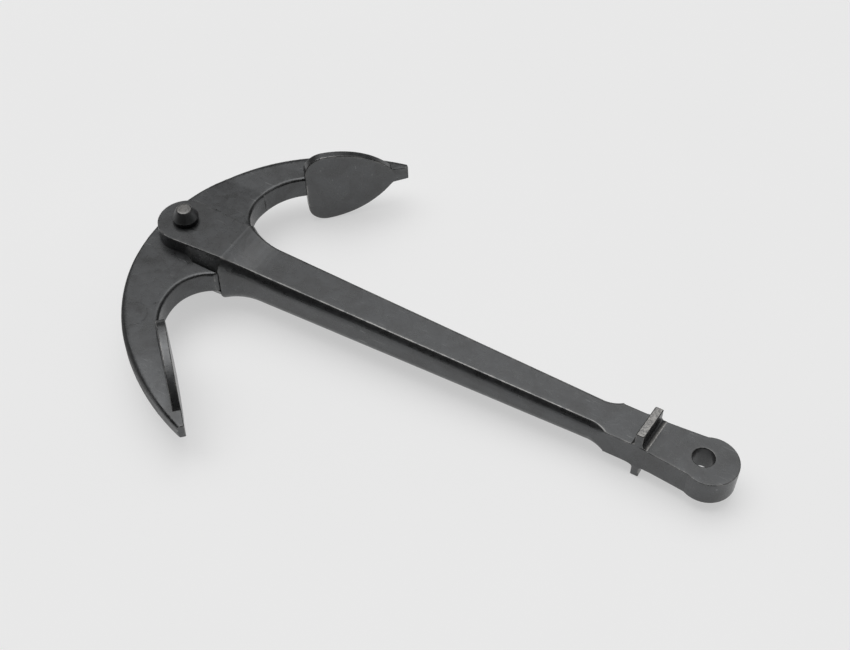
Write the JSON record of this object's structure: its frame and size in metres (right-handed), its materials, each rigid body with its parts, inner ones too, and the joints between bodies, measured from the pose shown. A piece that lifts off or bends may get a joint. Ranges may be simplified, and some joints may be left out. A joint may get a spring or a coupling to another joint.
{
  "type": "fluke anchor",
  "caption": "Forged fluke anchor whose crescent arms pivot on a pin in the forked end of a tapered shank, with heart-shaped palms, stock nuts and a shackle eye.",
  "frame": {"origin": "centre of the shackle eye's bore, on the middle plane", "axes": "-X along the shank from the eye to the crown, +Y across the arms' spread, +Z along the eye's bore and the crown pin"},
  "size_m": [0.6062, 0.3888, 0.0906],
  "materials": {
    "shank_iron": "blackened forged iron, satin, worn bright on the edges",
    "arm_iron": "blackened forged iron, satin, scarred and worn",
    "palm_iron": "blackened forged iron with a bright worn rim",
    "nut_iron": "blackened forged iron, rubbed bright on top",
    "pin_steel": "blackened steel, hammered bright at the head",
    "collar_iron": "black forged iron"
  },
  "bodies": {
    "shank": {"shank": "shank_iron", "stock_nut_upper": "nut_iron", "stock_nut_lower": "nut_iron", "crown_pin": "pin_steel", "pin_collar_upper": "collar_iron", "pin_collar_lower": "collar_iron"},
    "arms": {"arms": "arm_iron", "palm_left": "palm_iron", "palm_right": "palm_iron"}
  },
  "joints": [
    {"name": "arm_pivot", "type": "hinge", "parent": "shank", "child": "arms", "pos_m": [-0.543, 0, 0], "axis": [0, 0, 1], "range_deg": [-23, 25]}
  ]
}
